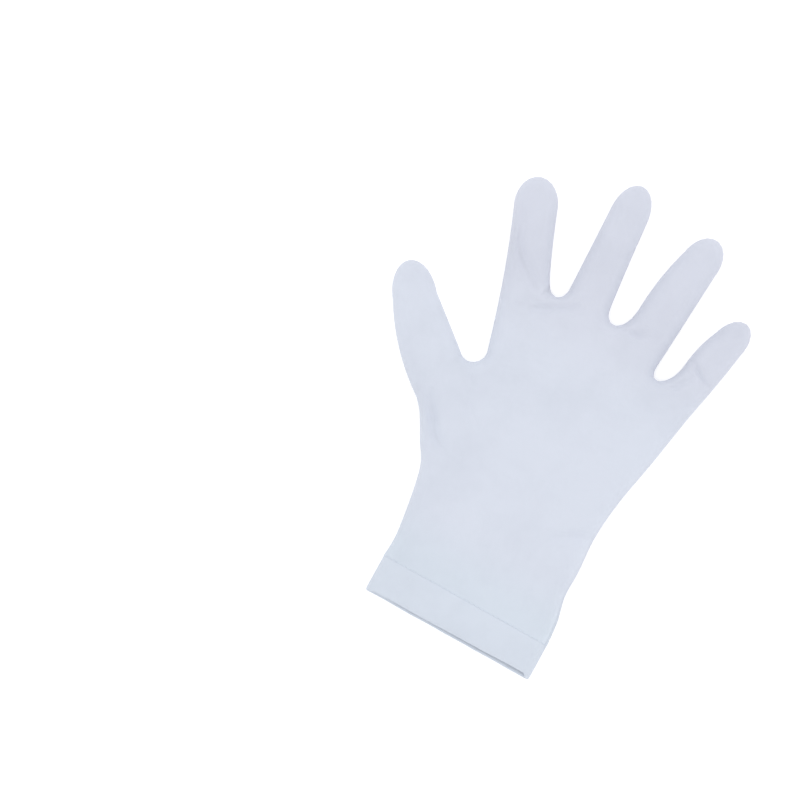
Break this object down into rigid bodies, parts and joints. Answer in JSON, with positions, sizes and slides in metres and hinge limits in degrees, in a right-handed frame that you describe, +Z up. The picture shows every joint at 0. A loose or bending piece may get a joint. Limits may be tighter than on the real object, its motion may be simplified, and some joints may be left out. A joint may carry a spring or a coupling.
{
  "type": "cotton glove",
  "caption": "Plain white cotton dress glove with spread fingers and a short hemmed cuff, lying flat and open inside.",
  "frame": {"origin": "on the surface that the glove lies on, under the middle of its box", "axes": "+Y from the cuff to the fingertips, +X from the thumb's side to the little finger's, +Z up out of the back of the hand"},
  "size_m": [0.1716, 0.2442, 0.01],
  "materials": {
    "knit": "fine matte cotton knit in cool white, with faint soft folds",
    "hem_knit": "the same knit doubled, with a row of white stitches"
  },
  "bodies": {
    "root": {"back_panel": "knit", "palm_panel": "knit", "cuff_hem": "hem_knit"}
  },
  "joints": []
}
